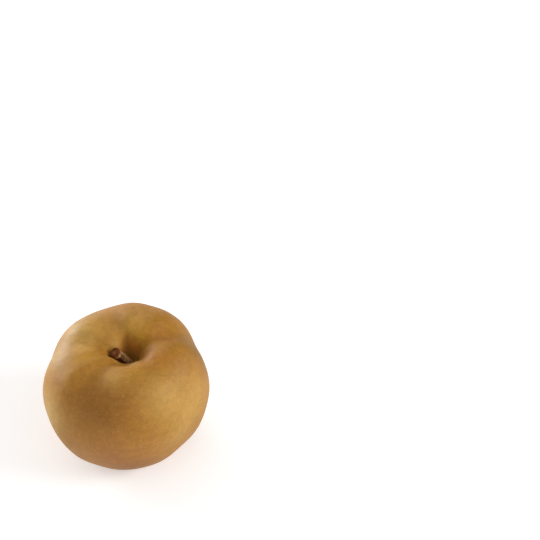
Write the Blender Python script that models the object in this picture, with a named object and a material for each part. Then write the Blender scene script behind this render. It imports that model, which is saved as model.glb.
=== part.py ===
"""A Canada reinette apple: the fruit, its woody stem in the cavity on top, and the dried
calyx in the basin underneath. Metres, +Z up. The fruit stands on the plane z = 0, with the
origin in the middle of its box."""

import math

import bmesh
import bpy
import numpy as np

GAP = 0.0003  # between pieces that touch

# Fruit
DIAMETER = 0.0832  # without the ribs
HEIGHT = 0.0680
FRUIT_SEGMENTS = 80
FRUIT_RINGS = 52
POLE_CROWDING = 0.45  # how much closer the rings lie in the cavity and the basin
FOOT_FLAT = 0.0005  # how far the lowest points of the crown are pressed flat

# Half outline from the stem cavity to the calyx basin: shares of the radius and of the
# height, and how strongly the ribs show there
FRUIT_OUTLINE = (
    (0.000, 0.700, 0.00),  # floor of the stem cavity
    (0.045, 0.712, 0.05),
    (0.085, 0.770, 0.15),
    (0.132, 0.850, 0.30),  # cavity wall
    (0.200, 0.930, 0.55),
    (0.300, 0.979, 0.85),  # lip
    (0.450, 1.000, 1.00),  # top of the shoulders
    (0.645, 0.981, 1.00),
    (0.820, 0.905, 0.95),
    (0.945, 0.770, 0.90),
    (1.000, 0.600, 0.85),  # equator
    (0.975, 0.430, 0.85),
    (0.890, 0.260, 0.90),
    (0.755, 0.110, 1.00),
    (0.600, 0.022, 1.10),
    (0.470, 0.000, 1.20),  # crown, on which the fruit stands
    (0.350, 0.025, 1.10),
    (0.235, 0.085, 0.80),  # basin wall
    (0.120, 0.135, 0.40),
    (0.000, 0.150, 0.00),  # floor of the calyx basin
)
CAVITY_AT = (0.0035, 0.0025)  # the cavity lies beside the fruit's axis
CAVITY_REACH = 0.55  # share of the radius where that offset has faded out

# Broad ribs and narrow folds: azimuth in degrees from +X towards +Y, and height
RIBS = ((43, 0.0033), (131, 0.0004), (194, 0.0021), (265, 0.0019), (340, 0.0038))
FOLDS = ((23, -0.0028), (85, 0.0014), (172, -0.0024), (226, 0.0017), (325, -0.0013))
RIB_SHARPNESS = 4.0
FOLD_SHARPNESS = 28.0
CROWN_RIB = 0.0022  # near the crown the ribs are alike, and the fruit stands on them
CROWN_SHARPNESS = 9.0
CROWN_BELOW = 0.12  # share of the height

# Soft hollows (height below zero) and swells of the upper side: x, y, heading in degrees,
# half length, half width and height
TOP_MARKS = (
    (0.0004, 0.0092, 88, 0.0042, 0.0022, -0.0010),  # fold up the back wall of the cavity
    (-0.0040, 0.0050, 120, 0.0065, 0.0040, 0.0014),  # fuller wall beside it
    (-0.0078, 0.0044, 160, 0.0045, 0.0026, 0.0012),  # and behind the end of the stem
    (0.0098, -0.0008, 78, 0.0075, 0.0044, -0.0022),  # wider cavity on the right
    (0.0172, -0.0012, 78, 0.0100, 0.0060, -0.0017),  # and a rounder lip there
    (-0.0040, -0.0002, 0, 0.0044, 0.0029, -0.0032),  # hollow under the end of the stem
    (-0.0205, 0.0075, 110, 0.0100, 0.0060, 0.0008),  # fuller left shoulder
    (0.0006, -0.0085, 0, 0.0068, 0.0030, -0.0018),  # rounder front lip
    (-0.0045, -0.0150, 0, 0.0045, 0.0030, 0.0005),  # and a low swell before it
    (-0.0165, -0.0215, 232, 0.0140, 0.0060, -0.0018),  # valley down the front left
    (0.0010, -0.0270, 272, 0.0110, 0.0070, 0.0009),  # broad rib beside it
)

# Stem: middle line from the scar at its outer end down to its root
STEM_LINE = (
    (-0.0045, -0.0005, 0.0638),
    (-0.0019, 0.0007, 0.0596),
    (0.0010, 0.0018, 0.0547),
    (0.0026, 0.0023, 0.0482),
    (0.0032, 0.0025, 0.0425),
)
# Radius, distance from the outer end along the middle line, and share of roundness
STEM_OUTLINE = (
    (0.0000, 0.0006, 1.0),  # pit of the scar
    (0.0010, 0.0005, 1.0),
    (0.0021, 0.0000, 1.0),  # its rim
    (0.0027, 0.0007, 1.0),
    (0.0025, 0.0020, 0.95),  # knob
    (0.0021, 0.0042, 0.90),
    (0.0019, 0.0080, 0.90),  # shaft
    (0.0019, 0.0120, 0.95),
    (0.0022, 0.0155, 1.0),  # base in the floor of the cavity
    (0.0020, 0.0180, 1.0),
    (0.0012, 0.0205, 1.0),
    (0.0000, 0.0212, 1.0),  # tip of the root
)
STEM_SEGMENTS = 20
STEM_RINGS = 24

# Calyx: a cup in the floor of the basin, five sepals round a tuft of dried stamens. The
# outlines start at the tip that points down and out of the basin.
BASIN_FLOOR = 0.150 * HEIGHT
CUP_LINE = ((0, 0, BASIN_FLOOR - 0.0012), (0, 0, BASIN_FLOOR + 0.0035))
CUP_OUTLINE = (
    (0.0000, 0.0020, 1.0),  # inside of the cup
    (0.0018, 0.0016, 1.0),
    (0.0026, 0.0002, 1.0),
    (0.0032, 0.0000, 1.0),  # rim
    (0.0036, 0.0006, 1.0),
    (0.0033, 0.0022, 1.0),
    (0.0024, 0.0040, 1.0),
    (0.0000, 0.0047, 1.0),  # root
)
CUP_RIM = 3  # its row in the outline
SOCKET_MOUTH = ((0.0000, -0.0020, 1.0), (0.0024, -0.0018, 1.0), (0.0036, -0.0008, 1.0))
CUP_SEGMENTS = 20
CUP_RINGS = 12
SEPALS = 5
SEPAL_TURN = 14  # degrees from +X to the first sepal
# Distance from the calyx's axis, and height above the floor of the basin
SEPAL_LINE = (
    (0.0066, -0.0048),
    (0.0054, -0.0052),
    (0.0038, -0.0038),
    (0.0031, -0.0016),
    (0.0027, 0.0010),
)
# Half width, distance from the tip, and thickness as a share of the width
SEPAL_OUTLINE = (
    (0.0000, 0.0000, 1.0),
    (0.0006, 0.0004, 0.70),
    (0.0011, 0.0018, 0.42),
    (0.0017, 0.0045, 0.28),
    (0.0018, 0.0068, 0.28),
    (0.0012, 0.0082, 0.40),
    (0.0000, 0.0086, 1.0),
)
SEPAL_SEGMENTS = 10
SEPAL_RINGS = 12
SEPAL_DROPS = (0.0000, -0.0005, 0.0003, -0.0002, 0.0004)  # how much higher each tip ends
STAMENS = 9
STAMEN_RADIUS = 0.00036
STAMEN_RING = 0.0013  # distance of the roots from the calyx's axis
STAMEN_LENGTH = (0.0036, 0.0048)  # shortest and longest
STAMEN_LEAN = 0.0007  # how far the tips stray
STAMEN_ROOT = BASIN_FLOOR + 0.0014
STAMEN_SEGMENTS = 5
STAMEN_RINGS = 6
SEED = 7

SAMPLES_PER_SPAN = 24


def smooth_rows(rows, per_span):
    """Catmull-Rom line through the rows after the first, as far as the one before the last."""
    made = []
    for a, b, c, d in zip(rows, rows[1:], rows[2:], rows[3:]):
        for t in np.arange(per_span) / per_span:
            made.append(
                0.5 * (2 * b + (c - a) * t + (2 * a - 5 * b + 4 * c - d) * t**2
                       + (3 * b - a - 3 * c + d) * t**3)
            )
    made.append(rows[-2])
    return np.array(made)


def distances(points):
    steps = np.linalg.norm(np.diff(points, axis=0), axis=1)
    return np.concatenate([[0], np.cumsum(steps)])


def half_outline(points, scale=(1, 1, 1)):
    """Reader for a half outline that starts and ends on its axis: at a share of its length it
    gives the radius, the place along the axis, the outward normal and the third value."""
    rows = np.array(points, float) * scale
    side = 1 if rows[-1, 1] > rows[0, 1] else -1
    over_axis = (-1, 1, 1)
    line = smooth_rows(np.vstack([rows[1] * over_axis, rows, rows[-2] * over_axis]), SAMPLES_PER_SPAN)
    steps = np.gradient(line[:, :2], axis=0)
    steps /= np.linalg.norm(steps, axis=1)[:, None]
    shares = distances(line[:, :2])
    shares /= shares[-1]
    columns = (line[:, 0], line[:, 1], side * steps[:, 1], -side * steps[:, 0], line[:, 2])

    def read(share):
        return [float(np.interp(share, shares, column)) for column in columns]

    return read


def middle_line(points):
    """Reader for a smooth line through points: at a distance it gives the place and heading."""
    rows = np.array(points, float)
    rows = np.vstack([2 * rows[0] - rows[1], rows, 2 * rows[-1] - rows[-2]])
    line = smooth_rows(rows, SAMPLES_PER_SPAN)
    headings = np.gradient(line, axis=0)
    along = distances(line)

    def read(distance):
        place = np.array([np.interp(distance, along, line[:, axis]) for axis in range(3)])
        heading = np.array([np.interp(distance, along, headings[:, axis]) for axis in range(3)])
        heading /= np.linalg.norm(heading)
        past_end = distance - min(max(distance, 0), along[-1])
        return place + heading * past_end, heading

    return read


def ramp(value, start, end):
    """Smooth step from 0 at start to 1 at end."""
    share = min(1, max(0, (value - start) / (end - start)))
    return share * share * (3 - 2 * share)


def shaped_sphere(name, segments, rings, place):
    """A UV sphere with every vertex moved to place(azimuth, share), share 0 at the top."""
    mesh = bpy.data.meshes.new(name)
    form = bmesh.new()
    bmesh.ops.create_uvsphere(form, u_segments=segments, v_segments=rings, radius=1)
    for vertex in form.verts:
        x, y, z = vertex.co
        share = math.acos(max(-1, min(1, z))) / math.pi
        vertex.co = place(math.atan2(y, x), share)
    form.to_mesh(mesh)
    form.free()
    mesh.shade_smooth()
    return bpy.data.objects.new(name, mesh)


def swept(name, segments, rings, line, outline, side, grown=0):
    """An outline turned round a smooth middle line. The third value of the outline flattens it
    across side, and grown moves the whole surface outwards."""
    read_line = middle_line(line)
    read_outline = half_outline(outline)

    def place(azimuth, share):
        radius, distance, out, onward, roundness = read_outline(share)
        radius += grown * out
        middle, heading = read_line(distance + grown * onward)
        across = np.array(side) - heading * np.dot(side, heading)
        across /= np.linalg.norm(across)
        face = np.cross(across, heading)
        return middle + radius * (math.cos(azimuth) * across + roundness * math.sin(azimuth) * face)

    return shaped_sphere(name, segments, rings, place)


def material(name, colour, roughness):
    made = bpy.data.materials.new(name)
    made.use_nodes = True
    shader = made.node_tree.nodes["Principled BSDF"]
    shader.inputs["Base Color"].default_value = (*colour, 1)
    shader.inputs["Roughness"].default_value = roughness
    shader.inputs["Metallic"].default_value = 0
    return made


def add_boolean(piece, operation, cutter):
    change = piece.modifiers.new(cutter.name, "BOOLEAN")
    change.operation = operation
    change.object = cutter


def bumps(azimuth, places, sharpness):
    """Sum of soft bumps round the fruit, less their mean."""
    def raised(angle):
        return sum(
            height * np.exp(sharpness * (np.cos(angle - math.radians(at)) - 1))
            for at, height in places
        )
    return raised(azimuth) - raised(np.radians(np.arange(0, 360, 3))).mean()


def relief_round(azimuth, height_share):
    """Height of the ribs and folds, which turn into equal ribs near the crown."""
    own = bumps(azimuth, RIBS, RIB_SHARPNESS) + bumps(azimuth, FOLDS, FOLD_SHARPNESS)
    even = bumps(azimuth, [(at, CROWN_RIB) for at, _ in RIBS], CROWN_SHARPNESS)
    return even + (own - even) * ramp(height_share, 0, CROWN_BELOW)


def make_fruit_body():
    read_outline = half_outline(FRUIT_OUTLINE, (DIAMETER / 2, HEIGHT, 1))

    def place(azimuth, share):
        share -= POLE_CROWDING * math.sin(2 * math.pi * share) / (2 * math.pi)
        radius, height, out, upward, strength = read_outline(share)
        relief = relief_round(azimuth, height / HEIGHT) * strength
        reach = radius + out * relief
        fade = 1 - ramp(radius / (DIAMETER / 2), 0, CAVITY_REACH) if share < 0.5 else 0
        return (
            reach * math.cos(azimuth) + CAVITY_AT[0] * fade,
            reach * math.sin(azimuth) + CAVITY_AT[1] * fade,
            height + upward * relief,
        )

    return shaped_sphere("fruit", FRUIT_SEGMENTS, FRUIT_RINGS, place)


def press_foot(fruit):
    """Press the lowest points flat, and put the middle of the foot's box at the origin."""
    points = np.array([vertex.co for vertex in fruit.data.vertices])
    points[:, 2] = np.maximum(points[:, 2], points[:, 2].min() + FOOT_FLAT)
    low, high = points.min(axis=0), points.max(axis=0)
    points -= ((low[0] + high[0]) / 2, (low[1] + high[1]) / 2, low[2])
    fruit.data.vertices.foreach_set("co", points.ravel())


def mark_top(fruit):
    """Work the hollows and swells into the upper side, each along the surface's normal."""
    fruit.data.update()
    normals = [vertex.normal.copy() for vertex in fruit.data.vertices]
    for vertex, normal in zip(fruit.data.vertices, normals):
        x, y, z = vertex.co
        if z < HEIGHT / 2:
            continue
        for at_x, at_y, heading, half_length, half_width, height in TOP_MARKS:
            turn = math.radians(heading)
            along = (x - at_x) * math.cos(turn) + (y - at_y) * math.sin(turn)
            across = (y - at_y) * math.cos(turn) - (x - at_x) * math.sin(turn)
            fall = (along / half_length) ** 2 + (across / half_width) ** 2
            vertex.co += normal * (height * math.exp(-fall))


def make_stem(name="stem", grown=0):
    return swept(name, STEM_SEGMENTS, STEM_RINGS, STEM_LINE, STEM_OUTLINE, (0, 1, 0), grown)


def make_cup():
    return swept("calyx", CUP_SEGMENTS, CUP_RINGS, CUP_LINE, CUP_OUTLINE, (1, 0, 0))


def make_cup_socket():
    """The cup's outer side without its hollow, open towards the basin."""
    outline = SOCKET_MOUTH + CUP_OUTLINE[CUP_RIM + 1:]
    return swept("calyx_socket", CUP_SEGMENTS, CUP_RINGS, CUP_LINE, outline, (1, 0, 0), GAP)


def make_sepal(number):
    turn = math.radians(SEPAL_TURN + 360 / SEPALS * number)
    line = []
    for rank, (reach, height) in enumerate(SEPAL_LINE):
        height += BASIN_FLOOR + SEPAL_DROPS[number] * (1 - rank / (len(SEPAL_LINE) - 1))
        line.append((reach * math.cos(turn), reach * math.sin(turn), height))
    side = (-math.sin(turn), math.cos(turn), 0)
    return swept(f"sepal_{number + 1}", SEPAL_SEGMENTS, SEPAL_RINGS, line, SEPAL_OUTLINE, side)


def make_stamen(number, chance):
    turn = 2 * math.pi * number / STAMENS
    length = chance.uniform(*STAMEN_LENGTH)
    root = np.array((STAMEN_RING * math.cos(turn), STAMEN_RING * math.sin(turn), STAMEN_ROOT))
    tip = root + (*chance.uniform(-STAMEN_LEAN, STAMEN_LEAN, 2), -length)
    outline = (
        (0, 0, 1),
        (STAMEN_RADIUS * 1.3, STAMEN_RADIUS, 1),
        (STAMEN_RADIUS, 3 * STAMEN_RADIUS, 1),
        (STAMEN_RADIUS, length - STAMEN_RADIUS, 1),
        (0, length, 1),
    )
    line = (tip, root)
    return swept(f"stamen_{number + 1}", STAMEN_SEGMENTS, STAMEN_RINGS, line, outline, (1, 0, 0))


def main():
    for obj in list(bpy.data.objects):
        bpy.data.objects.remove(obj)
    apple = bpy.data.collections.new("canada_reinette_apple")
    tools = bpy.data.collections.new("cutters")
    bpy.context.scene.collection.children.link(apple)
    bpy.context.scene.collection.children.link(tools)

    fruit = make_fruit_body()
    press_foot(fruit)
    mark_top(fruit)
    stem = make_stem()
    calyx = make_cup()
    sockets = [make_stem("stem_socket", GAP), make_cup_socket()]
    chance = np.random.default_rng(SEED)
    calyx_growth = [make_sepal(number) for number in range(SEPALS)]
    calyx_growth += [make_stamen(number, chance) for number in range(STAMENS)]

    for socket in sockets:
        add_boolean(fruit, "DIFFERENCE", socket)
    for growth in calyx_growth:
        add_boolean(calyx, "UNION", growth)
    for tool in sockets + calyx_growth:
        tool.hide_render = True
        tool.display_type = "WIRE"
        tools.objects.link(tool)

    fruit.data.materials.append(material("russet_skin", (0.42, 0.24, 0.07), 0.5))
    stem.data.materials.append(material("woody_stem", (0.16, 0.10, 0.06), 0.8))
    calyx.data.materials.append(material("dried_calyx", (0.10, 0.07, 0.045), 0.85))
    for piece in (fruit, stem, calyx):
        apple.objects.link(piece)


main()
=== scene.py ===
import math

import bmesh
import bpy
import numpy as np
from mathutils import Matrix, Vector, noise
from mathutils.bvhtree import BVHTree


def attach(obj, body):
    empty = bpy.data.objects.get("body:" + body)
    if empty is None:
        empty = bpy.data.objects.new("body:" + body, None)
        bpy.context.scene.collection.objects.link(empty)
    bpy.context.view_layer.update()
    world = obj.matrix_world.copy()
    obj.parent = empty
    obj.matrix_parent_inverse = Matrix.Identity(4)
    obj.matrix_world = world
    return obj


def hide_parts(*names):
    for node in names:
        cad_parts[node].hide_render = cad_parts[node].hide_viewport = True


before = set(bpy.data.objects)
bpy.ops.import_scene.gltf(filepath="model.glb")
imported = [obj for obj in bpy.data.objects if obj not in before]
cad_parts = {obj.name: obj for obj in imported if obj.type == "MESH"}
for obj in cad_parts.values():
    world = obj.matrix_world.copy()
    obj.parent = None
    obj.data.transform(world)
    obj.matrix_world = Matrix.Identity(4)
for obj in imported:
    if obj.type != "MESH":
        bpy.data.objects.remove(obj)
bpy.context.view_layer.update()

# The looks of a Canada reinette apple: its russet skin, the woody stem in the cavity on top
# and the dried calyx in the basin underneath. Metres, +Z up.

X_AXIS = (1, 0, 0)
Y_AXIS = (0, 1, 0)

# Photograph and camera
PHOTO_WIDTH = 540  # pixels
CAMERA_ELEVATION = 46  # degrees above the horizon, looking along +Y
LENS = 85  # mm
SENSOR = 36  # mm
CLIP_START = 0.01
SCALE_IN_PHOTO = 0.000512  # metres a pixel at the apple
MIDDLE_IN_PHOTO = (128.2, 389.1)  # pixel where the middle of the apple's height appears
MIDDLE_HEIGHT = 0.034

# Lights: name, azimuth and elevation in degrees, distance, width, height, and power in watts
LIGHTS = (
    ("right_softbox", 354, 27, 1.0, 0.45, 0.40, 6.8),
    ("left_strip", 138, 6, 1.0, 0.66, 0.20, 11.4),
)
DIM_SIDE = (0.74, 0.62, 0.26)  # direction that the fill light is dimmest from
# How near to that direction the dimming starts and ends, and the strength at either end
FILL_LIGHT = {"From Min": 0.5, "From Max": 0.95, "To Min": 0.72, "To Max": 0.15}

# Floor, which glows a little to come out as white as the photograph's ground
FLOOR_REACH = 3
FLOOR_SHADE = 0.8
FLOOR_GLOW = 0.31

# Skin geometry
WELD = 0.000001  # corners of the solid's faces this close are one point
SOCKET_REACH = 0.00045  # skin this close to the stem or calyx is the wall of a socket
SKIN_DIP = 0.0016  # how far the skin dips where it closes round the stem and calyx
PAIR_BEND = 60  # degrees that two triangles may bend by and still become one quad
PAIR_SKEW = 120  # degrees that its corners may then stray from square ones
SKIN_LEVELS = 2
# Unevenness of the skin: size of the waves, and their height
SKIN_WAVES = ((0.014, 0.00022), (0.0045, 0.00006), (0.0018, 0.000018))
# Marks in the upper side: x, y, heading in degrees, half length, half width, height
SKIN_MARKS = (
    (0.0010, 0.0085, 88, 0.0040, 0.0009, -0.0002),  # narrow fold in the back wall
)

# Pleats of the skin round the calyx: how many, their height, and the distances from the axis
# where they start, are deepest and have faded out
PLEATS = 15
PLEAT_HEIGHT = 0.00050
PLEAT_REACH = (0.0030, 0.0080, 0.0180)
PLEAT_EVEN = 0.6  # share of their height that is the same all round
PLEAT_STRAY = 2  # how often their unevenness repeats round the axis
PLEAT_SHIFT = 5  # radians by which it shifts them

# Skin colours, from 0 to 255 as on a display
OCHRE = (156, 106, 28)
TAN = (160, 110, 38)
OLIVE = (156, 116, 20)
BROWN = (124, 74, 12)
GOLD = (190, 138, 40)
ORANGE = (186, 118, 42)
ROSY = (162, 102, 42)
PALE = (195, 164, 98)
STRAW = (188, 151, 77)
HONEY = (202, 158, 80)
SAGE = (158, 126, 62)
RUST = (166, 96, 30)
OLIVE_DARK = (128, 88, 6)
RUSSET_PALE = (186, 142, 72)
RUSSET_DARK = (120, 72, 22)
LENTICEL = (206, 172, 112)

# Soft patches, some of them the skin's own tone and some painted light and shade: middle, reach,
# colour and how strongly it shows
TONE_AND_PAINTED_LIGHT_PATCHES = (
    # Left shoulder
    ((-0.019, 0.008, 0.067), 0.014, GOLD, 0.4),
    # painted highlight: widens the sheen of the left light on the shoulder
    ((-0.021, 0.013, 0.067), 0.012, PALE, 0.35),
    ((-0.031, 0.002, 0.062), 0.016, SAGE, 0.5),
    ((-0.016, 0.020, 0.066), 0.018, SAGE, 0.35),
    ((-0.015, 0.014, 0.067), 0.016, PALE, 0.2),
    ((-0.027, -0.002, 0.065), 0.015, OLIVE, 0.5),
    ((-0.013, 0.017, 0.067), 0.011, GOLD, 0.5),
    ((-0.016, -0.005, 0.068), 0.012, GOLD, 0.6),
    ((-0.016, -0.006, 0.068), 0.010, OLIVE, 0.2),
    ((-0.017, 0.003, 0.066), 0.009, PALE, 0.2),
    # painted highlight: carries the left light's sheen further across the shoulder
    ((-0.022, -0.015, 0.067), 0.009, GOLD, 0.3),
    # Behind the cavity
    ((0.007, 0.0125, 0.068), 0.013, GOLD, 0.7),
    ((0.008, 0.0145, 0.069), 0.009, GOLD, 0.5),
    ((0.012, 0.0150, 0.069), 0.008, OLIVE, 0.2),
    ((-0.006, 0.0235, 0.067), 0.010, ORANGE, 0.2),
    ((0.007, 0.0235, 0.068), 0.010, PALE, 0.2),
    ((0.003, 0.0150, 0.068), 0.012, PALE, 0.15),
    ((0.019, 0.0180, 0.068), 0.012, ROSY, 0.3),
    ((0.020, 0.0090, 0.066), 0.009, ORANGE, 0.3),
    # Cavity wall
    ((0.005, 0.0085, 0.062), 0.008, RUST, 0.5),
    # painted light: brightens the back wall beside the stem, which the model leaves in shade
    ((-0.0040, 0.0080, 0.0635), 0.006, PALE, 0.35),
    # painted shadow: the shade under the end of the stem, on the cavity's front edge
    ((-0.0035, -0.0065, 0.0635), 0.005, BROWN, 0.7),
    # painted light: brightens the front right edge of the cavity, which the model leaves in shade
    ((0.0085, -0.0070, 0.0650), 0.005, PALE, 0.6),
    # Right lip and shoulder
    # painted shade: these two darken the right lip to dim the highlight of the left light there
    ((0.014, 0.0000, 0.067), 0.007, BROWN, 0.6),
    ((0.0125, -0.0025, 0.066), 0.006, BROWN, 0.6),
    ((0.031, -0.006, 0.065), 0.008, BROWN, 0.2),
    ((0.021, -0.0070, 0.068), 0.010, ORANGE, 0.5),
    # Front lip
    ((0.000, -0.0190, 0.069), 0.011, HONEY, 0.42),
    ((0.010, -0.0150, 0.069), 0.009, GOLD, 0.4),
    # Front
    ((-0.002, -0.034, 0.061), 0.022, BROWN, 0.5),
    ((-0.012, -0.028, 0.064), 0.018, BROWN, 0.4),
    # darker towards the bottom: the skin's reddish-brown tone, deepened as painted shade against the
    # floor's glow
    ((0.003, -0.039, 0.019), 0.022, BROWN, 0.7),
    ((0.007, -0.028, 0.066), 0.011, BROWN, 0.35),
    ((0.0135, -0.034, 0.058), 0.006, BROWN, 0.25),
    ((-0.005, -0.042, 0.033), 0.030, ROSY, 0.6),
    # Right
    ((0.023, -0.024, 0.061), 0.020, STRAW, 0.5),
    ((0.036, -0.016, 0.050), 0.020, STRAW, 0.5),
    ((0.030, -0.027, 0.040), 0.018, STRAW, 0.35),
    ((0.037, 0.008, 0.058), 0.018, OLIVE_DARK, 0.9),
    # Left
    ((-0.036, -0.022, 0.048), 0.020, PALE, 0.55),
    ((-0.028, -0.016, 0.065), 0.008, BROWN, 0.2),
    ((-0.036, 0.006, 0.026), 0.020, BROWN, 0.3),
    # Back
    ((-0.026, 0.028, 0.034), 0.022, PALE, 0.4),
    ((0.000, 0.038, 0.048), 0.022, BROWN, 0.4),
    ((0.006, 0.034, 0.022), 0.018, OLIVE, 0.6),
    ((0.028, 0.028, 0.030), 0.020, GOLD, 0.5),
    # Basin
    ((0.000, 0.000, 0.012), 0.018, RUSSET_DARK, 0.7),
)

# Texture of the skin. What is named a noise is its size, detail and roughness. What is named a
# change is the value where it starts, the one where it is complete, and what it goes from and
# to there, which is 0 and 1 if they aren't given.
DRIFT_NOISE = (0.009, 2)  # makes the clouds and patches stray
DRIFT = 0.004
TAN_NOISE = (0.016, 3)
TAN_CHANGE = (0.38, 0.62)
OLIVE_NOISE = (0.011, 3)
OLIVE_CHANGE = (0.55, 0.75, 0, 0.45)
MOTTLE_NOISE = (0.0030, 4, 0.6)
MOTTLE_CHANGE = (0.3, 0.7, 0.92, 1.08)
GRAIN_NOISE = (0.00055, 2, 0.6)
GRAIN_CHANGE = (0.25, 0.75, 0.91, 1.09)
NET_NOISE = (0.0016, 3, 0.7)
NET_PALE_CHANGE = (0.54, 0.68, 0, 0.18)
NET_DARK_CHANGE = (0.44, 0.32, 0, 0.18)
NET_ROUGHNESS_CHANGE = (0.3, 0.7, 0.54, 0.64)
SKIN_SPECULAR = 0.30
UNEVEN_NOISE = (0.0022, 3, 0.6)
UNEVEN_BUMP = 0.00012
GRAIN_BUMP = 0.00005

# The russet is rougher in the cavity and on its lip
CAVITY_MIDDLE = (0.0035, 0.0025, 0.062)
CAVITY_ROUGHNESS_CHANGE = (0.020, 0.010, 0, 0.25)

# Lenticels: small pale corky dots, fainter in some places than in others
LENTICEL_SPACING = 0.0026
LENTICEL_RADIUS = 0.00045
LENTICEL_CORE = 0.3  # share of the radius inside which they show fully
LENTICEL_NOISE = (0.006, 2)
LENTICEL_CHANGE = (0.4, 0.65, 0.08, 0.3)
LENTICEL_BUMP = 0.00006

# Stem: middle line from the scar at its outer end down to its root, as in the solid
STEM_LINE = (
    (-0.0045, -0.0005, 0.0638),
    (-0.0019, 0.0007, 0.0596),
    (0.0010, 0.0018, 0.0547),
    (0.0026, 0.0023, 0.0482),
    (0.0032, 0.0025, 0.0425),
)
# Radius, distance from the outer end along the middle line, and share of roundness
STEM_OUTLINE = (
    (0.0000, 0.0006, 1.0),  # pit of the scar
    (0.0010, 0.0005, 1.0),
    (0.0021, 0.0000, 1.0),  # its rim
    (0.0027, 0.0007, 1.0),
    (0.0025, 0.0020, 0.95),  # knob
    (0.0021, 0.0042, 0.90),
    (0.0019, 0.0080, 0.90),  # shaft
    (0.0019, 0.0120, 0.95),
    (0.0022, 0.0155, 1.0),  # base in the floor of the cavity
    (0.0020, 0.0180, 1.0),
    (0.0012, 0.0205, 1.0),
    (0.0000, 0.0212, 1.0),  # tip of the root
)
STEM_SEGMENTS = 96
STEM_RINGS = 180
# Bark: how often the waves repeat round the stem, their length along it, and their height
BARK_WAVES = ((1.1, 0.0050, 0.00035), (3.2, 0.0030, 0.00016), (8.0, 0.0012, 0.00006))
SCAR_END = 0.0012  # the scar's cracked rim ends here along the stem
SCAR_CRACKS = 4  # how often the cracks repeat round it
SCAR_CRACK_HEIGHT = 0.00018
SCAR_CRACK_PLACE = 7  # where in the noise they are taken

# Colours and texture of the stem, in the same forms as the skin's
BARK_DARK = (150, 108, 64)
BARK_PALE = (204, 162, 110)
SCAR_RIM = (104, 54, 18)
SCAR_PITH = (156, 104, 64)
# Painted shade: a dark colour laid on the shaft's under side in place of its shadow
SHAFT_SHADE_COLOUR = (78, 44, 22)
SHAFT_SHADE_SPOT = (-0.0009, -0.0008, 0.0604)  # painted shade: a dark spot on the under side of the shaft, where its shadow falls
BARK_NOISE = (0.0012, 4, 0.65)
BARK_CHANGE = (0.35, 0.65)
FLECK_NOISE = (0.0004, 3, 0.7)
FLECK_CHANGE = (0.3, 0.7, 0.75, 1.2)
SCAR_CHANGE = (0.0033, 0.0028)  # by the distance from the middle of the scar
PITH_CHANGE = (0.0017, 0.0005)
# where the painted shade under the shaft fades in, by the distance from its middle
SHAFT_SHADE_CHANGE = (0.0028, 0.0010, 0, 0.8)
RIDGE_NOISE = (0.0009, 4, 0.7)
RIDGE_BUMP = 0.00015
FIBRE_NOISE = (0.00025, 2)
FIBRE_BUMP = 0.00006
BARK_ROUGHNESS = 0.8
BARK_SPECULAR = 0.2

# Calyx: a cup in the floor of the basin, five sepals round a tuft of dried stamens. The
# outlines start at the tip that points down and out of the basin, as in the solid.
BASIN_FLOOR = 0.0102
CUP_LINE = ((0, 0, BASIN_FLOOR - 0.0012), (0, 0, BASIN_FLOOR + 0.0035))
CUP_OUTLINE = (
    (0.0000, 0.0020, 1.0),  # inside of the cup
    (0.0018, 0.0016, 1.0),
    (0.0026, 0.0002, 1.0),
    (0.0032, 0.0000, 1.0),  # rim
    (0.0036, 0.0006, 1.0),
    (0.0033, 0.0022, 1.0),
    (0.0024, 0.0040, 1.0),
    (0.0000, 0.0047, 1.0),  # root
)
CUP_SEGMENTS = 80
CUP_RINGS = 48
CUP_WAVES = (2.5, 0.0012, 0.00018)  # in the same form as a row of the bark's

SEPALS = 5
SEPAL_TURN = 14  # degrees from +X to the first sepal
# Distance from the calyx's axis, and height above the floor of the basin
SEPAL_LINE = (
    (0.0066, -0.0048),
    (0.0054, -0.0052),
    (0.0038, -0.0038),
    (0.0031, -0.0016),
    (0.0027, 0.0010),
)
# Half width, distance from the tip, and thickness as a share of the width
SEPAL_OUTLINE = (
    (0.0000, 0.0000, 1.0),
    (0.0005, 0.0004, 0.60),
    (0.0010, 0.0018, 0.34),
    (0.0017, 0.0045, 0.24),
    (0.0018, 0.0068, 0.24),
    (0.0012, 0.0082, 0.40),
    (0.0000, 0.0086, 1.0),
)
SEPAL_SEGMENTS = 28
SEPAL_RINGS = 56
SEPAL_RISES = (0.0000, -0.0005, 0.0003, -0.0002, 0.0004)  # how much higher each tip ends
SEPAL_CURL = 0.35  # how far the edges turn up, as a share of the half width
SEPAL_RIB = (0.16, 0.00010)  # half width as a share of the sepal's, and height
SEPAL_VEINS = (16, 0.00004)  # how closely they lie, and height
SEPAL_WAVES = (3, 0.0010, 0.00012)
SEPAL_SHIFT = 9  # keeps the waves of one sepal unlike those of the next

STAMENS = 15
STAMEN_TURN = 2.4  # radians from one to the next
STAMEN_RADIUS = 0.00022
STAMEN_RING = (0.0006, 0.0017)  # nearest and furthest root from the calyx's axis
STAMEN_LENGTH = (0.0034, 0.0052)  # shortest and longest
STAMEN_LEAN = 0.0010  # how far the tips stray
STAMEN_BEND = 0.4  # share of that by which their middles stray
STAMEN_ROOT = BASIN_FLOOR + 0.0014
# Anther on a stamen's tip: half width and distance from the tip, both as shares of the
# stamen's radius, and share of roundness
ANTHER = ((1.8, 1, 0.8), (1.6, 3, 0.8), (1, 5, 1))
STAMEN_SEGMENTS = 12
STAMEN_RINGS = 24

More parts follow.
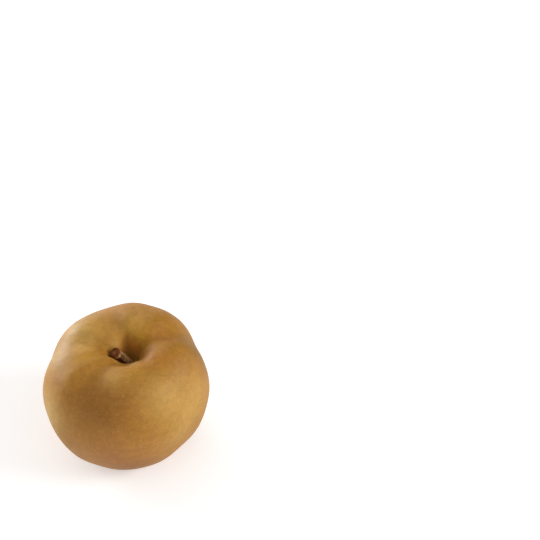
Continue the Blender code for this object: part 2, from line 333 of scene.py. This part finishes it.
HAIRS = 420
HAIR_RADIUS = 0.000035
HAIR_LENGTH = (0.0006, 0.0014)  # shortest and longest
HAIR_LEAN = 0.7  # how far they lean away from the normal, as a share of its length
HAIR_BEND = 0.6  # how far their outer half bends on, likewise
HAIR_SEGMENTS = 4
HAIR_RINGS = 6
ALONG_X = 0.9  # a hair that heads this much along X has its sides laid out from Y instead
SEED = 7

# Colours and texture of the calyx, in the same forms as the skin's
CALYX_BROWN = (122, 94, 64)
WOOL_PALE = (170, 152, 122)
CALYX_NOISE = (0.0008, 4, 0.65)
CALYX_CHANGE = (0.3, 0.7, 0.6, 1.3)
WRINKLE_NOISE = (0.0003, 3, 0.6)
WRINKLE_BUMP = 0.00008
CALYX_ROUGHNESS = 0.85

POINTS_PER_SPAN = 24  # of a smooth line, between two of the points that it goes through


def smooth_rows(rows):
    """Catmull-Rom line through the rows after the first, as far as the one before the last."""
    made = []
    for a, b, c, d in zip(rows, rows[1:], rows[2:], rows[3:]):
        for t in np.arange(POINTS_PER_SPAN) / POINTS_PER_SPAN:
            made.append(
                0.5 * (2 * b + (c - a) * t + (2 * a - 5 * b + 4 * c - d) * t**2
                       + (3 * b - a - 3 * c + d) * t**3)
            )
    made.append(rows[-2])
    return np.array(made)


def distances(points):
    """Distance along a line from its first point to each of its points."""
    steps = np.linalg.norm(np.diff(points, axis=0), axis=1)
    return np.concatenate([[0], np.cumsum(steps)])


def half_outline(points):
    """Reader for a half outline that starts and ends on its axis: at a share of its length it
    gives the radius, the place along the axis, the outward normal and the third value."""
    rows = np.array(points, float)
    over_axis = (-1, 1, 1)
    line = smooth_rows(np.vstack([rows[1] * over_axis, rows, rows[-2] * over_axis]))
    steps = np.gradient(line[:, :2], axis=0)
    steps /= np.linalg.norm(steps, axis=1)[:, None]
    shares = distances(line[:, :2])
    shares /= shares[-1]
    columns = (line[:, 0], line[:, 1], steps[:, 1], -steps[:, 0], line[:, 2])

    def read(share):
        return [float(np.interp(share, shares, column)) for column in columns]

    return read


def middle_line(points):
    """Reader for a smooth line through points: at a distance it gives the place and heading."""
    rows = np.array(points, float)
    rows = np.vstack([2 * rows[0] - rows[1], rows, 2 * rows[-1] - rows[-2]])
    line = smooth_rows(rows)
    headings = np.gradient(line, axis=0)
    along = distances(line)

    def read(distance):
        place = np.array([np.interp(distance, along, line[:, axis]) for axis in range(3)])
        heading = np.array([np.interp(distance, along, headings[:, axis]) for axis in range(3)])
        heading /= np.linalg.norm(heading)
        past_end = distance - min(max(distance, 0), along[-1])
        return place + heading * past_end, heading

    return read


def ramp(value, start, end):
    """Smooth step from 0 at start to 1 at end."""
    share = min(1, max(0, (value - start) / (end - start)))
    return share * share * (3 - 2 * share)


def wave(azimuth, distance, often, length, height, shift=0):
    """Uneven relief that closes on itself round an axis: how often it repeats round it, the
    length of its waves along the axis, and their height."""
    at = Vector((often * math.cos(azimuth), often * math.sin(azimuth) + shift, distance / length))
    return noise.noise(at) * height


def no_relief(azimuth, distance):
    return 0


def shaped_sphere(name, segments, rings, place):
    """A UV sphere with every vertex moved to place(azimuth, share), share 0 at the top."""
    form = bmesh.new()
    bmesh.ops.create_uvsphere(form, u_segments=segments, v_segments=rings, radius=1)
    for vertex in form.verts:
        x, y, z = vertex.co
        share = math.acos(max(-1, min(1, z))) / math.pi
        vertex.co = place(math.atan2(y, x), share)
    mesh = bpy.data.meshes.new(name)
    form.to_mesh(mesh)
    form.free()
    mesh.shade_smooth()
    return mesh


def swept(name, segments, rings, line, outline, side, relief=no_relief, curl=0):
    """An outline turned round a smooth middle line. The third value of the outline flattens it
    across side, relief(azimuth, distance) raises its surface, and curl turns its edges up."""
    read_line = middle_line(line)
    read_outline = half_outline(outline)

    def place(azimuth, share):
        radius, distance, out, onward, roundness = read_outline(share)
        rise = relief(azimuth, distance)
        middle, heading = read_line(distance + rise * onward)
        across = np.array(side) - heading * np.dot(side, heading)
        across /= np.linalg.norm(across)
        face = np.cross(across, heading)
        reach = radius + rise * out
        lift = curl * radius * math.cos(azimuth) ** 2
        return (middle + reach * math.cos(azimuth) * across
                + (reach * roundness * math.sin(azimuth) + lift) * face)

    return shaped_sphere(name, segments, rings, place)


def joined(name, meshes):
    """The meshes in one, as separate bodies."""
    form = bmesh.new()
    for mesh in meshes:
        form.from_mesh(mesh)
    made = bpy.data.meshes.new(name)
    form.to_mesh(made)
    form.free()
    made.shade_smooth()
    return made


def show(mesh, material, node_name):
    """Put a finished mesh in the scene in place of the frame's node."""
    mesh.materials.append(material)
    piece = bpy.data.objects.new(mesh.name, mesh)
    bpy.context.scene.collection.objects.link(piece)
    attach(piece, "root")
    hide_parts(node_name)


def tree_of(node_name):
    """The node's faces, to measure distances from."""
    form = bmesh.new()
    form.from_mesh(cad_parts[node_name].data)
    tree = BVHTree.FromBMesh(form)
    form.free()
    return tree


def closed_skin():
    """The solid's skin without the walls of the sockets, closed where they opened."""
    form = bmesh.new()
    form.from_mesh(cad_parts["fruit"].data)
    bmesh.ops.remove_doubles(form, verts=form.verts, dist=WELD)
    fillings = [tree_of("stem"), tree_of("calyx")]
    walls = [v for v in form.verts if min(t.find_nearest(v.co)[3] for t in fillings) < SOCKET_REACH]
    bmesh.ops.delete(form, geom=walls, context="VERTS")
    bmesh.ops.join_triangles(
        form, faces=form.faces, angle_face_threshold=math.radians(PAIR_BEND),
        angle_shape_threshold=math.radians(PAIR_SKEW),
    )
    rim = [edge for edge in form.edges if len(edge.link_faces) == 1]
    lids = bmesh.ops.holes_fill(form, edges=rim, sides=0)["faces"]
    bmesh.ops.recalc_face_normals(form, faces=form.faces)
    for lid in lids:
        inward = -lid.normal
        for middle in bmesh.ops.poke(form, faces=[lid])["verts"]:
            middle.co += inward * SKIN_DIP
    mesh = bpy.data.meshes.new("closed_skin")
    form.to_mesh(mesh)
    form.free()
    return mesh


def smoothed(name, mesh, levels):
    """A copy of the mesh with subdivision applied, and no material."""
    holder = bpy.data.objects.new("smoothing", mesh)
    bpy.context.scene.collection.objects.link(holder)
    change = holder.modifiers.new("smoothing", "SUBSURF")
    change.levels = levels
    change.render_levels = levels
    ready = holder.evaluated_get(bpy.context.evaluated_depsgraph_get())
    fine = bpy.data.meshes.new_from_object(ready)
    bpy.data.objects.remove(holder)
    fine.name = name
    fine.materials.clear()
    fine.shade_smooth()
    return fine


def skin_mark(x, y):
    """Height of the marks in the upper side."""
    rise = 0
    for at_x, at_y, heading, half_length, half_width, height in SKIN_MARKS:
        turn = math.radians(heading)
        along = (x - at_x) * math.cos(turn) + (y - at_y) * math.sin(turn)
        across = (y - at_y) * math.cos(turn) - (x - at_x) * math.sin(turn)
        rise += height * math.exp(-((along / half_length) ** 2) - (across / half_width) ** 2)
    return rise


def pleat(x, y):
    """Height of the uneven pleats in the basin."""
    start, deepest, end = PLEAT_REACH
    reach = math.hypot(x, y)
    strength = ramp(reach, start, deepest) * (1 - ramp(reach, deepest, end))
    azimuth = math.atan2(y, x)
    stray = wave(azimuth, reach, PLEAT_STRAY, length=end, height=1)
    crests = math.cos(PLEATS * azimuth + PLEAT_SHIFT * stray)
    return PLEAT_HEIGHT * strength * (PLEAT_EVEN + stray) * crests


def make_fruit():
    """The fruit: its skin smoothed, then made uneven, and flat where it rests."""
    mesh = smoothed("russet_fruit", closed_skin(), SKIN_LEVELS)
    normals = [vertex.normal.copy() for vertex in mesh.vertices]
    for vertex, normal in zip(mesh.vertices, normals):
        x, y, z = vertex.co
        rise = sum(noise.noise(vertex.co / size) * height for size, height in SKIN_WAVES)
        rise += skin_mark(x, y) if z > MIDDLE_HEIGHT else pleat(x, y)
        vertex.co += normal * rise
        vertex.co.z = max(vertex.co.z, 0)
    show(mesh, skin_material(), "fruit")


def bark_relief(azimuth, distance):
    """Ridges along the stem, and cracks in the scar at its end."""
    ridges = sum(wave(azimuth, distance, *row) for row in BARK_WAVES)
    cracks = wave(azimuth, SCAR_CRACK_PLACE, SCAR_CRACKS, length=1, height=SCAR_CRACK_HEIGHT)
    return ridges + cracks * (1 - ramp(distance, 0, SCAR_END))


def make_stem():
    stem = swept("woody_stem", STEM_SEGMENTS, STEM_RINGS, STEM_LINE, STEM_OUTLINE, Y_AXIS, bark_relief)
    show(stem, bark_material(), "stem")


def cup_relief(azimuth, distance):
    return wave(azimuth, distance, *CUP_WAVES)


def make_cup():
    return swept("calyx_cup", CUP_SEGMENTS, CUP_RINGS, CUP_LINE, CUP_OUTLINE, X_AXIS, cup_relief)


def sepal_path(number):
    """A sepal's middle line from its tip, and the direction across it."""
    turn = math.radians(SEPAL_TURN + 360 / SEPALS * number)
    path = []
    for rank, (reach, height) in enumerate(SEPAL_LINE):
        height += BASIN_FLOOR + SEPAL_RISES[number] * (1 - rank / (len(SEPAL_LINE) - 1))
        path.append((reach * math.cos(turn), reach * math.sin(turn), height))
    return path, (-math.sin(turn), math.cos(turn), 0)


def make_sepal(number):
    path, side = sepal_path(number)
    rib_width, rib_height = SEPAL_RIB
    veins, vein_height = SEPAL_VEINS

    def relief(azimuth, distance):
        """A middle rib, fine veins beside it and an uneven edge."""
        across = math.cos(azimuth)
        rib = rib_height * math.exp(-(across / rib_width) ** 2)
        vein = vein_height * math.cos(veins * across)
        return rib + vein + wave(azimuth, distance, *SEPAL_WAVES, shift=SEPAL_SHIFT * number)

    return swept(
        f"sepal_{number}", SEPAL_SEGMENTS, SEPAL_RINGS, path, SEPAL_OUTLINE, side, relief, SEPAL_CURL
    )


def make_stamen(number, chance):
    """A thread with an anther on its tip, from a root in the cup."""
    turn = STAMEN_TURN * number
    reach = chance.uniform(*STAMEN_RING)
    length = chance.uniform(*STAMEN_LENGTH)
    root = np.array((reach * math.cos(turn), reach * math.sin(turn), STAMEN_ROOT))
    tip = root + (*chance.uniform(-STAMEN_LEAN, STAMEN_LEAN, 2), -length)
    bend = (root + tip) / 2 + (*chance.uniform(-STAMEN_LEAN, STAMEN_LEAN, 2) * STAMEN_BEND, 0)
    anther = [(wide * STAMEN_RADIUS, far * STAMEN_RADIUS, share) for wide, far, share in ANTHER]
    thread_end = (STAMEN_RADIUS, length - STAMEN_RADIUS, 1)
    outline = ((0, 0, 1), *anther, thread_end, (0, length, 1))
    return swept(f"stamen_{number}", STAMEN_SEGMENTS, STAMEN_RINGS, (tip, bend, root), outline, X_AXIS)


def make_hair(vertex, chance):
    """A bent hair, thickest halfway, that grows from a vertex."""
    root = np.array(vertex.co)
    length = chance.uniform(*HAIR_LENGTH)
    along = np.array(vertex.normal) + chance.uniform(-HAIR_LEAN, HAIR_LEAN, 3)
    along /= np.linalg.norm(along)
    bend = root + along * length / 2
    tip = bend + (along + chance.uniform(-HAIR_BEND, HAIR_BEND, 3)) * length / 2
    outline = ((0, 0, 1), (HAIR_RADIUS, length / 2, 1), (0, length, 1))
    side = X_AXIS if abs(along[0]) < ALONG_X else Y_AXIS
    return swept("hair", HAIR_SEGMENTS, HAIR_RINGS, (tip, bend, root), outline, side)


def make_wool(meshes, chance):
    """Short woolly hairs on the meshes."""
    hairs = []
    for mesh in meshes:
        roots = chance.integers(0, len(mesh.vertices), HAIRS // len(meshes))
        hairs += [make_hair(mesh.vertices[int(index)], chance) for index in roots]
    return joined("calyx_hairs", hairs)


def make_calyx():
    chance = np.random.default_rng(SEED)
    cup = make_cup()
    sepals = joined("sepals", [make_sepal(number) for number in range(SEPALS)])
    stamens = joined("stamens", [make_stamen(number, chance) for number in range(STAMENS)])
    hairs = make_wool([cup, sepals], chance)
    dried = calyx_material("dried_calyx", CALYX_BROWN)
    wool = calyx_material("calyx_wool", WOOL_PALE)
    for mesh, look in ((cup, dried), (sepals, dried), (stamens, dried), (hairs, wool)):
        show(mesh, look, "calyx")


def make_camera():
    """A camera that sees the middle of the apple's height at its pixel and scale."""
    data = bpy.data.cameras.new("camera")
    data.lens = LENS
    data.sensor_width = SENSOR
    data.clip_start = CLIP_START
    camera = bpy.data.objects.new("camera", data)
    bpy.context.scene.collection.objects.link(camera)
    elevation = math.radians(CAMERA_ELEVATION)
    back = Vector((0, -math.cos(elevation), math.sin(elevation)))
    rotation = (-back).to_track_quat("-Z", "Y")
    focal = LENS / SENSOR * PHOTO_WIDTH
    ray = Vector((
        (MIDDLE_IN_PHOTO[0] - PHOTO_WIDTH / 2) / focal,
        -(MIDDLE_IN_PHOTO[1] - PHOTO_WIDTH / 2) / focal,
        -1,
    ))
    camera.rotation_mode = "QUATERNION"
    camera.rotation_quaternion = rotation
    camera.location = Vector((0, 0, MIDDLE_HEIGHT)) - rotation @ (ray * SCALE_IN_PHOTO * focal)
    bpy.context.scene.camera = camera


def display(colour):
    """Linear colour of a display colour given from 0 to 255, by the sRGB curve."""
    shares = np.array(colour) / 255
    linear = np.where(shares <= 0.04045, shares / 12.92, ((shares + 0.055) / 1.055) ** 2.4)
    return (*[float(value) for value in linear], 1)


class Look:
    """A material under construction, with short calls for its nodes."""

    def __init__(self, name):
        self.material = bpy.data.materials.new(name)
        self.material.use_nodes = True
        self.tree = self.material.node_tree
        self.shader = self.tree.nodes["Principled BSDF"]
        self.place = self.tree.nodes.new("ShaderNodeTexCoord").outputs["Object"]

    def feed(self, socket, value):
        """Link the value to the socket, or set it there if it is a number or a colour."""
        if isinstance(value, bpy.types.NodeSocket):
            self.tree.links.new(value, socket)
        else:
            socket.default_value = value

    def vector_maths(self, operation, a, b):
        node = self.tree.nodes.new("ShaderNodeVectorMath")
        node.operation = operation
        self.feed(node.inputs[0], a)
        self.feed(node.inputs[1], b)
        return node

    def moved(self, place, by):
        return self.vector_maths("ADD", place, by).outputs["Vector"]

    def distance(self, place, at):
        return self.vector_maths("DISTANCE", place, at).outputs["Value"]

    def scaled(self, colour, amount):
        """The colour, or vector, times an amount."""
        node = self.tree.nodes.new("ShaderNodeVectorMath")
        node.operation = "SCALE"
        self.feed(node.inputs[0], colour)
        self.feed(node.inputs["Scale"], amount)
        return node.outputs["Vector"]

    def maths(self, operation, a, b):
        node = self.tree.nodes.new("ShaderNodeMath")
        node.operation = operation
        self.feed(node.inputs[0], a)
        self.feed(node.inputs[1], b)
        return node.outputs[0]

    def noise(self, size, detail, rough=0.5, place=None, output="Fac"):
        node = self.tree.nodes.new("ShaderNodeTexNoise")
        self.feed(node.inputs["Vector"], place or self.place)
        node.inputs["Scale"].default_value = 1 / size
        node.inputs["Detail"].default_value = detail
        node.inputs["Roughness"].default_value = rough
        return node.outputs[output]

    def from_dots(self, spacing):
        """Distance from the nearest of scattered dots, as a share of their spacing."""
        node = self.tree.nodes.new("ShaderNodeTexVoronoi")
        self.feed(node.inputs["Vector"], self.place)
        node.inputs["Scale"].default_value = 1 / spacing
        return node.outputs["Distance"]

    def span(self, value, low, high, to_low=0.0, to_high=1.0):
        """The value eased from to_low at low to to_high at high."""
        node = self.tree.nodes.new("ShaderNodeMapRange")
        node.interpolation_type = "SMOOTHSTEP"
        for socket, number in zip(node.inputs, (value, low, high, to_low, to_high)):
            self.feed(socket, number)
        return node.outputs["Result"]

    def mix(self, share, a, b):
        node = self.tree.nodes.new("ShaderNodeMix")
        node.data_type = "RGBA"
        self.feed(node.inputs["Factor"], share)
        self.feed(node.inputs["A"], a)
        self.feed(node.inputs["B"], b)
        return node.outputs["Result"]

    def bump(self, height, distance, under=None):
        node = self.tree.nodes.new("ShaderNodeBump")
        node.inputs["Strength"].default_value = 1
        node.inputs["Distance"].default_value = distance
        self.feed(node.inputs["Height"], height)
        if under:
            self.feed(node.inputs["Normal"], under)
        return node.outputs["Normal"]


def ground_colour(look):
    """Soft clouds of ochre, tan and olive, with the patches of tone and of painted light and shade
    over them, and where they stray.
    """
    drift = look.scaled(look.noise(*DRIFT_NOISE, output="Color"), DRIFT)
    place = look.moved(look.place, drift)
    tan = look.span(look.noise(*TAN_NOISE, place=place), *TAN_CHANGE)
    colour = look.mix(tan, display(OCHRE), display(TAN))
    olive = look.span(look.noise(*OLIVE_NOISE, place=place), *OLIVE_CHANGE)
    colour = look.mix(olive, colour, display(OLIVE))
    for at, reach, tone, strength in TONE_AND_PAINTED_LIGHT_PATCHES:
        near = look.span(look.distance(place, at), reach, 0, 0, strength)
        colour = look.mix(near, colour, display(tone))
    return colour, place


def lenticels(look):
    """How strongly a lenticel shows at a place."""
    edge = LENTICEL_RADIUS / LENTICEL_SPACING
    dot = look.span(look.from_dots(LENTICEL_SPACING), edge, LENTICEL_CORE * edge)
    return look.maths("MULTIPLY", dot, look.span(look.noise(*LENTICEL_NOISE), *LENTICEL_CHANGE))


def skin_material():
    look = Look("russet_skin")
    colour, place = ground_colour(look)

    # Mottling, grain, russet net and lenticels
    colour = look.scaled(colour, look.span(look.noise(*MOTTLE_NOISE), *MOTTLE_CHANGE))
    grain = look.noise(*GRAIN_NOISE)
    colour = look.scaled(colour, look.span(grain, *GRAIN_CHANGE))
    net = look.noise(*NET_NOISE)
    colour = look.mix(look.span(net, *NET_PALE_CHANGE), colour, display(RUSSET_PALE))
    colour = look.mix(look.span(net, *NET_DARK_CHANGE), colour, display(RUSSET_DARK))
    dot = lenticels(look)
    look.feed(look.shader.inputs["Base Color"], look.mix(dot, colour, display(LENTICEL)))

    look.shader.inputs["Specular IOR Level"].default_value = SKIN_SPECULAR
    rougher = look.span(look.distance(place, CAVITY_MIDDLE), *CAVITY_ROUGHNESS_CHANGE)
    rough = look.maths("ADD", look.span(net, *NET_ROUGHNESS_CHANGE), rougher)
    look.feed(look.shader.inputs["Roughness"], rough)
    uneven = look.bump(look.noise(*UNEVEN_NOISE), UNEVEN_BUMP)
    fine = look.bump(grain, GRAIN_BUMP, under=uneven)
    look.feed(look.shader.inputs["Normal"], look.bump(dot, LENTICEL_BUMP, under=fine))
    return look.material


def bark_material():
    look = Look("bark")
    bark = look.span(look.noise(*BARK_NOISE), *BARK_CHANGE)
    colour = look.mix(bark, display(BARK_DARK), display(BARK_PALE))
    colour = look.scaled(colour, look.span(look.noise(*FLECK_NOISE), *FLECK_CHANGE))

    # Scar with its pith, and painted shade on the under side of the shaft
    from_scar = look.distance(look.place, STEM_LINE[0])
    pith = look.span(from_scar, *PITH_CHANGE)
    scar_colour = look.mix(pith, display(SCAR_RIM), display(SCAR_PITH))
    colour = look.mix(look.span(from_scar, *SCAR_CHANGE), colour, scar_colour)
    painted_shade = look.span(look.distance(look.place, SHAFT_SHADE_SPOT), *SHAFT_SHADE_CHANGE)
    colour = look.mix(painted_shade, colour, display(SHAFT_SHADE_COLOUR))
    look.feed(look.shader.inputs["Base Color"], colour)

    look.shader.inputs["Roughness"].default_value = BARK_ROUGHNESS
    look.shader.inputs["Specular IOR Level"].default_value = BARK_SPECULAR
    ridges = look.bump(look.noise(*RIDGE_NOISE), RIDGE_BUMP)
    fibres = look.bump(look.noise(*FIBRE_NOISE), FIBRE_BUMP, under=ridges)
    look.feed(look.shader.inputs["Normal"], fibres)
    return look.material


def calyx_material(name, tone):
    look = Look(name)
    shade = look.span(look.noise(*CALYX_NOISE), *CALYX_CHANGE)
    look.feed(look.shader.inputs["Base Color"], look.scaled(display(tone)[:3], shade))
    look.shader.inputs["Roughness"].default_value = CALYX_ROUGHNESS
    look.feed(look.shader.inputs["Normal"], look.bump(look.noise(*WRINKLE_NOISE), WRINKLE_BUMP))
    return look.material


def add_light(name, azimuth, elevation, distance, width, height, power):
    """A soft box that faces the middle of the apple."""
    data = bpy.data.lights.new(name, "AREA")
    data.shape = "RECTANGLE"
    data.size = width
    data.size_y = height
    data.energy = power
    light = bpy.data.objects.new(name, data)
    bpy.context.scene.collection.objects.link(light)
    turn, rise = math.radians(azimuth), math.radians(elevation)
    away = Vector((math.cos(turn) * math.cos(rise), math.sin(turn) * math.cos(rise), math.sin(rise)))
    light.location = Vector((0, 0, MIDDLE_HEIGHT)) + away * distance
    light.rotation_mode = "QUATERNION"
    light.rotation_quaternion = (-away).to_track_quat("-Z", "Y")
    light.visible_camera = False


def make_world():
    """Even white fill light, dimmer from the back right."""
    world = bpy.data.worlds.new("studio")
    world.use_nodes = True
    tree = world.node_tree
    background = tree.nodes["Background"]
    background.inputs["Color"].default_value = (1, 1, 1, 1)
    direction = tree.nodes.new("ShaderNodeTexCoord").outputs["Generated"]
    facing = tree.nodes.new("ShaderNodeVectorMath")
    facing.operation = "DOT_PRODUCT"
    tree.links.new(direction, facing.inputs[0])
    facing.inputs[1].default_value = DIM_SIDE
    strength = tree.nodes.new("ShaderNodeMapRange")
    strength.interpolation_type = "SMOOTHSTEP"
    tree.links.new(facing.outputs["Value"], strength.inputs["Value"])
    for socket_name, value in FILL_LIGHT.items():
        strength.inputs[socket_name].default_value = value
    tree.links.new(strength.outputs["Result"], background.inputs["Strength"])
    bpy.context.scene.world = world


def make_floor():
    mesh = bpy.data.meshes.new("floor")
    form = bmesh.new()
    bmesh.ops.create_grid(form, x_segments=1, y_segments=1, size=FLOOR_REACH)
    form.to_mesh(mesh)
    form.free()
    floor = bpy.data.objects.new("floor", mesh)
    bpy.context.scene.collection.objects.link(floor)
    made = bpy.data.materials.new("white_floor")
    made.use_nodes = True
    shader = made.node_tree.nodes["Principled BSDF"]
    shader.inputs["Base Color"].default_value = (FLOOR_SHADE, FLOOR_SHADE, FLOOR_SHADE, 1)
    shader.inputs["Roughness"].default_value = 1
    shader.inputs["Emission Color"].default_value = (1, 1, 1, 1)
    shader.inputs["Emission Strength"].default_value = FLOOR_GLOW
    mesh.materials.append(made)


make_camera()
make_floor()
make_world()
bpy.context.scene.view_settings.view_transform = "Standard"
for light_row in LIGHTS:
    add_light(*light_row)
make_fruit()
make_stem()
make_calyx()
